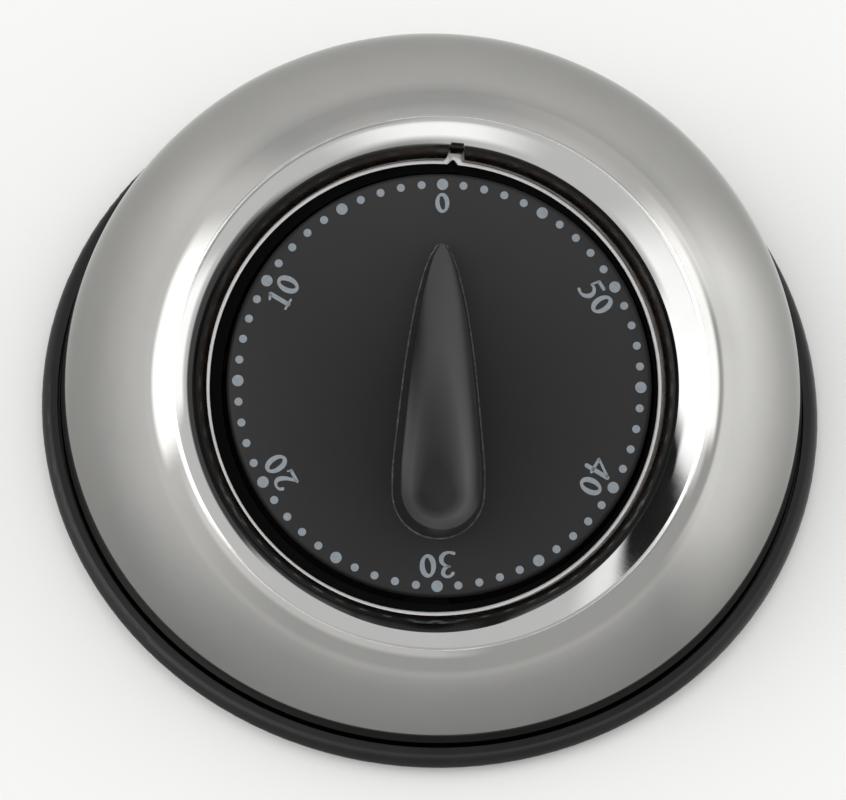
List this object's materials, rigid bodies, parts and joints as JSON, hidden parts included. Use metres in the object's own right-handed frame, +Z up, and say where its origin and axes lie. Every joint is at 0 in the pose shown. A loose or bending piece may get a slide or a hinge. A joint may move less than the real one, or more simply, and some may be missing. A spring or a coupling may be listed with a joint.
{
  "type": "kitchen timer",
  "caption": "Round clockwork kitchen timer with an inclined dial, a teardrop grip and a polished steel dome on a slim black base.",
  "frame": {"origin": "on the table under the centre of the round base", "axes": "+Z up, +Y to the high back of the dial where the index nib is, -Y to the low front"},
  "size_m": [0.09, 0.09, 0.0376],
  "materials": {
    "black_plastic": "black moulded plastic, satin",
    "dial_plastic": "black moulded plastic, fine satin, with pale printed marks",
    "grip_plastic": "black moulded plastic, satin",
    "rubber": "soft dark rubber",
    "polished_steel": "mirror polished",
    "bell_steel": "plain spun steel",
    "zinc_steel": "zinc plated",
    "plate_steel": "stamped sheet",
    "spring_steel": "tempered, blue grey",
    "arbor_steel": "turned",
    "brass": "stamped"
  },
  "bodies": {
    "case": {"base": "black_plastic", "foot_pads": "rubber", "base_screws": "zinc_steel", "dome_shell": "polished_steel", "dial_carrier": "black_plastic", "bell": "bell_steel", "bell_post": "brass", "bell_screw": "zinc_steel", "stop_pin": "arbor_steel", "front_plate": "plate_steel", "rear_plate": "plate_steel", "plate_pillars": "plate_steel", "plate_screws": "zinc_steel", "movement_screws": "zinc_steel", "mainspring": "spring_steel", "hammer_spring": "spring_steel"},
    "dial": {"dial_disc": "dial_plastic", "knob_grip": "grip_plastic", "grip_screws": "zinc_steel", "main_arbor": "arbor_steel", "arbor_clip": "spring_steel", "main_wheel": "brass", "clutch_spring": "spring_steel", "trip_cam": "plate_steel", "stop_arm": "plate_steel"},
    "second_gear": {"second_arbor": "arbor_steel", "second_wheel": "brass"},
    "third_gear": {"third_arbor": "arbor_steel", "third_wheel": "brass"},
    "escape_gear": {"escape_arbor": "arbor_steel", "escape_wheel": "brass"},
    "pallet": {"pallet_lever": "brass", "pallet_pins": "arbor_steel", "pallet_staff": "arbor_steel", "inertia_bar": "brass"},
    "hammer": {"hammer_staff": "arbor_steel", "hammer_arm": "plate_steel", "hammer_head": "brass", "hammer_tail": "plate_steel"}
  },
  "joints": [
    {"name": "dial_turn", "type": "hinge", "parent": "case", "child": "dial", "pos_m": [0, -0.0093, 0.02416], "axis": [0, 0.342, -0.9397], "range_deg": [0, 348]},
    {"name": "second_gear_spin", "type": "hinge", "parent": "case", "child": "second_gear", "pos_m": [-0.01061, 0.00097, 0.01385], "axis": [0, 0.342, -0.9397], "continuous": true},
    {"name": "third_gear_spin", "type": "hinge", "parent": "case", "child": "third_gear", "pos_m": [-0.00886, 0.00709, 0.01608], "axis": [0, 0.342, -0.9397], "continuous": true},
    {"name": "escape_gear_spin", "type": "hinge", "parent": "case", "child": "escape_gear", "pos_m": [-0.00286, 0.00709, 0.01608], "axis": [0, 0.342, -0.9397], "continuous": true},
    {"name": "pallet_swing", "type": "hinge", "parent": "case", "child": "pallet", "pos_m": [0.00364, 0.0073, 0.01552], "axis": [0, -0.342, 0.9397], "range_deg": [-4, 4]},
    {"name": "hammer_swing", "type": "hinge", "parent": "case", "child": "hammer", "pos_m": [0.012, -0.00812, 0.00629], "axis": [0, 0.342, -0.9397], "range_deg": [-1, 7], "stiffness_Nm_per_rad": 0.002}
  ],
  "couplings": [
    {"joint": "second_gear_spin", "follows": "dial_turn", "ratio": -6},
    {"joint": "third_gear_spin", "follows": "dial_turn", "ratio": 30},
    {"joint": "escape_gear_spin", "follows": "dial_turn", "ratio": -150}
  ]
}
